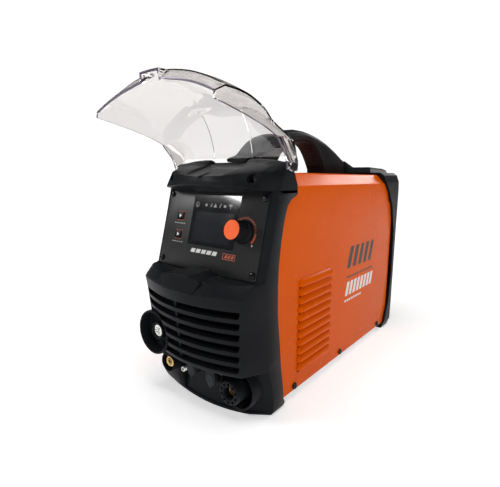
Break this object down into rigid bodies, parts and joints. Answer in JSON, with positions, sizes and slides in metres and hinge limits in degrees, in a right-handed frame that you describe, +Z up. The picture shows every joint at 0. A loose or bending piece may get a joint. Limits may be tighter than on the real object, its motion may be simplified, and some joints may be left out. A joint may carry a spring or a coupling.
{
  "type": "plasma cutter unit",
  "caption": "Portable inverter plasma cutter: orange steel case between black bezels, carrying handle, leaning control panel under a hinged clear cover, front sockets and rear fan.",
  "frame": {"origin": "centre of the footprint of the whole unit, on the surface that it stands on", "axes": "+X to the object's own right when facing its front from the front, -Y out of the front panel, +Z up"},
  "size_m": [0.1798, 0.4645, 0.36],
  "materials": {
    "orange_paint": "semi-gloss orange powder coat with a fine orange peel",
    "black_plastic": "fine-textured black moulded ABS",
    "clear_plastic": "clear polycarbonate, slightly violet along its edges",
    "panel_film": "dark grey-green satin overlay on steel",
    "display_glass": "gloss black display window",
    "knob_orange": "satin orange moulded cap",
    "black_rubber": "soft black rubber",
    "black_screw": "black oxide steel",
    "zinc_steel": "zinc-plated sheet steel",
    "nickel": "nickel-plated brass",
    "brass": "machined brass",
    "aluminium": "extruded aluminium",
    "circuit_board": "green solder mask",
    "copper_winding": "enamelled copper wire",
    "ferrite": "dark ferrite",
    "capacitor_sleeve": "shrink-sleeved can",
    "hose_blue": "blue polyurethane air hose"
  },
  "bodies": {
    "unit": {"air_hose_front": "hose_blue", "air_hose_rear": "hose_blue", "air_inlet": "brass", "air_valve": "brass", "base_tray": "zinc_steel", "bus_capacitor_1": "capacitor_sleeve", "bus_capacitor_2": "capacitor_sleeve", "cable_gland": "black_plastic", "control_board": "circuit_board", "control_faceplate": "panel_film", "cover_shell": "orange_paint", "display_module": "zinc_steel", "display_window": "display_glass", "earth_bolt": "zinc_steel", "earth_socket": "black_plastic", "earth_socket_insert": "brass", "faceplate_screw_1": "black_screw", "faceplate_screw_2": "black_screw", "faceplate_screw_3": "black_screw", "faceplate_screw_4": "black_screw", "fan_frame": "black_plastic", "fan_guard": "zinc_steel", "front_bezel": "black_plastic", "handle": "black_plastic", "handle_pad": "black_rubber", "heat_sink": "aluminium", "hinge_pin_left": "black_screw", "hinge_pin_right": "black_screw", "hood_screw_left": "black_screw", "hood_screw_right": "black_screw", "knob_potentiometer": "zinc_steel", "output_choke": "copper_winding", "pilot_gas_connector": "brass", "power_board": "circuit_board", "power_switch_frame": "black_plastic", "rear_bezel": "black_plastic", "rear_panel": "orange_paint", "side_screw_left_1": "black_screw", "side_screw_left_2": "black_screw", "side_screw_left_3": "black_screw", "side_screw_right_1": "black_screw", "side_screw_right_2": "black_screw", "side_screw_right_3": "black_screw", "signal_socket_left": "nickel", "signal_socket_right": "nickel", "torch_socket": "black_plastic", "torch_socket_insert": "nickel", "transformer_core": "ferrite", "transformer_winding": "copper_winding"},
    "cover": {"clear_cover": "clear_plastic"},
    "knob": {"knob_body": "black_plastic", "knob_cap": "knob_orange"},
    "mode_key": {"mode_button": "black_plastic"},
    "air_test_key": {"air_test_button": "black_plastic"},
    "left_cap": {"dust_cap_left": "black_rubber"},
    "right_cap": {"dust_cap_right": "black_rubber"},
    "rocker": {"power_rocker": "black_plastic"},
    "fan": {"fan_rotor": "black_plastic"}
  },
  "joints": [
    {"name": "cover_hinge", "type": "hinge", "parent": "unit", "child": "cover", "pos_m": [0, -0.11774, 0.274], "axis": [1, 0, 0], "range_deg": [0, 90]},
    {"name": "knob_turn", "type": "hinge", "parent": "unit", "child": "knob", "pos_m": [0.0512, -0.15318, 0.20586], "axis": [0, 0.9675, -0.2527], "range_deg": [-140, 140]},
    {"name": "mode_press", "type": "slide", "parent": "unit", "child": "mode_key", "axis": [0, 0.9675, -0.2527], "range_m": [0, 0.001], "stiffness_N_per_m": 600, "springref_m": -0.0006},
    {"name": "air_test_press", "type": "slide", "parent": "unit", "child": "air_test_key", "axis": [0, 0.9675, -0.2527], "range_m": [0, 0.001], "stiffness_N_per_m": 600, "springref_m": -0.0006},
    {"name": "left_cap_flap", "type": "hinge", "parent": "unit", "child": "left_cap", "pos_m": [-0.012, -0.17364, 0.0485], "axis": [1, 0, 0], "range_deg": [-95, 0]},
    {"name": "right_cap_flap", "type": "hinge", "parent": "unit", "child": "right_cap", "pos_m": [0.02, -0.17364, 0.0465], "axis": [1, 0, 0], "range_deg": [-95, 0]},
    {"name": "power_rock", "type": "hinge", "parent": "unit", "child": "rocker", "pos_m": [0.044, 0.21326, 0.222], "axis": [1, 0, 0], "range_deg": [0, 16]},
    {"name": "fan_spin", "type": "hinge", "parent": "unit", "child": "fan", "pos_m": [0, 0.19126, 0.138], "axis": [0, 1, 0], "continuous": true}
  ]
}
